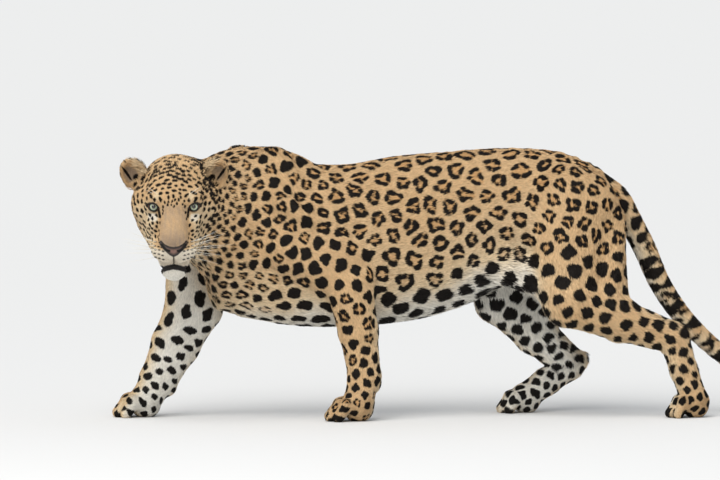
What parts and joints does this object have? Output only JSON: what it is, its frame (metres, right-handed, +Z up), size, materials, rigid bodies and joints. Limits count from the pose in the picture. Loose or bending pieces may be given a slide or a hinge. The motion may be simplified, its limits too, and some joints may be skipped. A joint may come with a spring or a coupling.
{
  "type": "leopard",
  "caption": "Life-size walking leopard, a still display model: spotted big cat in mid stride, head turned to face outwards, long tail trailing low with a lifted tip.",
  "frame": {"origin": "on the ground, under the middle of the whole model's bounding box", "axes": "+Z up; the trunk lies along X with the chest towards -X and the tail towards +X; the animal's left side faces -Y"},
  "size_m": [1.6724, 0.395, 0.6185],
  "materials": {
    "coat": "short dense fur, tawny above and white below, with black rosettes and spots",
    "nose_leather": "bare, moist, finely grained",
    "eye": "wet gloss over a pale grey-green iris"
  },
  "bodies": {
    "root": {"belly": "coat", "chest": "coat", "ear_left": "coat", "ear_right": "coat", "eye_left": "eye", "eye_right": "eye", "foot_left": "coat", "foot_right": "coat", "forearm_left": "coat", "forearm_right": "coat", "head": "coat", "hips": "coat", "jaw": "coat", "neck": "coat", "nose": "nose_leather", "paw_fore_left": "coat", "paw_fore_right": "coat", "paw_hind_left": "coat", "paw_hind_right": "coat", "shank_left": "coat", "shank_right": "coat", "tail_middle": "coat", "tail_root": "coat", "tail_tip": "coat", "thigh_left": "coat", "thigh_right": "coat", "upper_arm_left": "coat", "upper_arm_right": "coat"}
  },
  "joints": []
}
